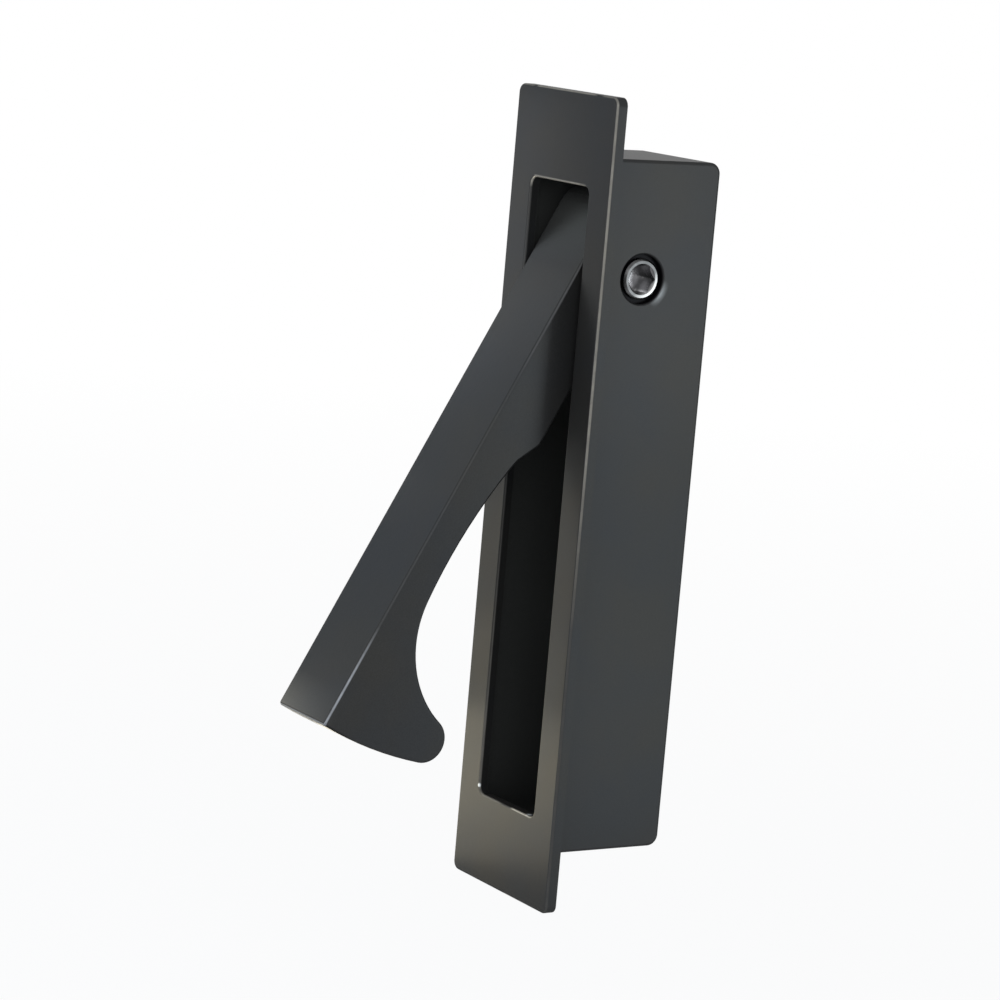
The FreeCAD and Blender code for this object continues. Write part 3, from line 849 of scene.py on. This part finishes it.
# name, place, aim, width, height, brightness (1 is as bright as a white room), colour
LAMPS = (
    ("low_left", (-0.050, -0.035, -0.0490), (0, 0, -0.0300), 0.050, 0.030, 1.9, AMBER),
    ("close_low", (-0.0206, -0.0154, -0.0500), (0, -0.0018, -0.0460), 0.030, 0.024, 3.3, AMBER),
    ("near_low", (-0.038, -0.020, -0.044), (-0.010, -0.002, -0.039), 0.014, 0.032, 1.1, AMBER),
    ("near_middle", (-0.038, -0.020, -0.018), (-0.010, -0.002, -0.013), 0.014, 0.026, 1.9, STRAW),
    ("near_top", (-0.038, -0.020, 0.028), (-0.010, -0.002, 0.033), 0.010, 0.060, 2.4, WHITE),
    ("right_strip", (-0.020, -0.0215, -0.013), (0.010, -0.002, -0.007), 0.008, 0.044, 1.5, STRAW),
    ("hook_wash", (-0.064, -0.072, -0.019), (-0.006, -0.038, -0.040), 0.024, 0.024, 3.0, CREAM),
    ("lever_face", (-0.40, -0.22, 0.15), (0, -0.02, 0), 0.26, 0.20, 1.0, SKY),
    ("box_side", (0.095, 0.068, -0.008), (0.0094, 0.010, 0), 0.040, 0.140, 1.4, ICE),
    ("box_top", (0.095, 0.068, 0.030), (0.0094, 0.010, 0.030), 0.040, 0.060, 0.9, WHITE),
    ("slot_fill", (0.03, -0.25, 0.0), (0, 0, 0), 0.06, 0.20, 4.0, WHITE),
    ("camera_side", (0.7, -0.45, 0.3), (0, 0, 0), 0.5, 0.5, 1.7, WHITE),
)

# How far from the pull its shadow is full and gone, and how much of the floor there is white
SHADOW_FULL = 0.2
SHADOW_GONE = 1.0
WHITE_IN_SHADOW = 0.8


def seen_directly(tree):
    """1 for what the camera, a reflection or a see-through surface looks at, else 0."""
    paths = add_node(tree, "ShaderNodeLightPath").outputs
    rays = ("Is Camera Ray", "Is Glossy Ray", "Is Transmission Ray")
    return any_of(tree, *(paths[ray] for ray in rays))


def lay_floor(stage):
    """A wide pale disc under the pull, white where it is looked at, with the pull's shadow."""
    place = (0, 0, CAD_BOX[0].z - stage.floor_drop)
    bpy.ops.mesh.primitive_circle_add(
        vertices=96, radius=stage.floor_radius, fill_type="NGON", location=place,
    )
    floor = bpy.context.object
    floor.name = "studio_floor"
    material, tree = new_material("pale_floor")
    diffuse = add_node(tree, "ShaderNodeBsdfDiffuse", color=colour_of(stage, "floor_tone"))
    glow = add_node(tree, "ShaderNodeEmission", color=(*WHITE, 1.0), strength=1.0)
    spread = vector_node(tree, "LENGTH", object_place(tree), gives="Value")
    white = fit_range(tree, spread, SHADOW_FULL, SHADOW_GONE, to_low=WHITE_IN_SHADOW)
    share = all_of(tree, seen_directly(tree), white)
    finish_tree(tree, mix_shaders(tree, share, diffuse, glow))
    floor.data.materials.append(material)


def light_room(stage):
    """A soft grey room that looks white in itself and in reflections."""
    world = bpy.data.worlds.new("studio_room")
    world.use_nodes = True
    tree = world.node_tree
    tree.nodes.clear()
    seen = add_node(tree, "ShaderNodeBackground", color=(*WHITE, 1.0), strength=1.0)
    tone = colour_of(stage, "room_tone")
    room = add_node(tree, "ShaderNodeBackground", color=tone, strength=stage.room_power)
    finish_tree(tree, mix_shaders(tree, seen_directly(tree), room, seen), "ShaderNodeOutputWorld")
    bpy.context.scene.world = world


def hang_lamp(name, place, aim, width, height, brightness, colour):
    """A soft rectangular lamp at a place, turned to face a point."""
    lamp = bpy.data.lights.new(name, "AREA")
    lamp.shape = "RECTANGLE"
    lamp.size = width
    lamp.size_y = height
    lamp.energy = math.pi * width * height * brightness
    lamp.color = colour
    holder = bpy.data.objects.new(name, lamp)
    bpy.context.scene.collection.objects.link(holder)
    holder.visible_camera = False
    holder.location = place
    holder.rotation_euler = (Vector(aim) - Vector(place)).to_track_quat("-Z", "Y").to_euler()


def place_camera(stage):
    """The camera, where the photograph was taken from."""
    camera = bpy.data.objects.new("camera", bpy.data.cameras.new("camera"))
    bpy.context.scene.collection.objects.link(camera)
    camera.location = stage.camera_place
    camera.rotation_euler = Euler(stage.camera_turn, "XYZ")
    camera.data.lens = stage.lens
    camera.data.sensor_width = 36.0
    camera.data.clip_start = 0.01
    camera.data.clip_end = 20.0
    bpy.context.scene.camera = camera


class PULL_OT_set_stage(bpy.types.Operator):
    """Lay the floor, light the room and place the camera"""

    bl_idname = "pull.set_stage"
    bl_label = "Set the stage"

    def execute(self, context):
        stage = context.scene.pull_stage
        lay_floor(stage)
        light_room(stage)
        for name, place, aim, width, height, brightness, colour in LAMPS:
            hang_lamp(name, place, aim, width, height, brightness * stage.lamp_power, colour)
        place_camera(stage)
        context.scene.view_settings.view_transform = "Standard"
        return {"FINISHED"}


# Panel and classes

STEPS = (
    ("pull.coat_castings", "pull_coat"),
    ("pull.plate_screw", "pull_screw"),
    ("pull.mould_bushes", "pull_bush"),
    ("pull.set_stage", "pull_stage"),
)


class PULL_PT_finishes(bpy.types.Panel):
    """Buttons and settings for the pull's finishes and its stage"""

    bl_idname = "PULL_PT_finishes"
    bl_label = "Door pull"
    bl_space_type = "VIEW_3D"
    bl_region_type = "UI"
    bl_category = "Door Pull"

    def draw(self, context):
        for operator, group in STEPS:
            box = self.layout.box()
            settings = getattr(context.scene, group)
            for name in settings.__annotations__:
                box.prop(settings, name)
            box.operator(operator)


GROUPS = {
    "pull_coat": CoatSettings,
    "pull_screw": ScrewSettings,
    "pull_bush": BushSettings,
    "pull_stage": StageSettings,
}
CLASSES = (
    *GROUPS.values(),
    PULL_OT_coat_castings,
    PULL_OT_plate_screw,
    PULL_OT_mould_bushes,
    PULL_OT_set_stage,
    PULL_PT_finishes,
)


def register():
    for cls in CLASSES:
        bpy.utils.register_class(cls)
    for name, group in GROUPS.items():
        setattr(bpy.types.Scene, name, bpy.props.PointerProperty(type=group))


def unregister():
    for name in GROUPS:
        delattr(bpy.types.Scene, name)
    for cls in reversed(CLASSES):
        bpy.utils.unregister_class(cls)


def main():
    """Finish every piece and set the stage."""
    register()
    bpy.ops.pull.coat_castings()
    bpy.ops.pull.plate_screw()
    bpy.ops.pull.mould_bushes()
    bpy.ops.pull.set_stage()


if __name__ == "__main__":
    main()
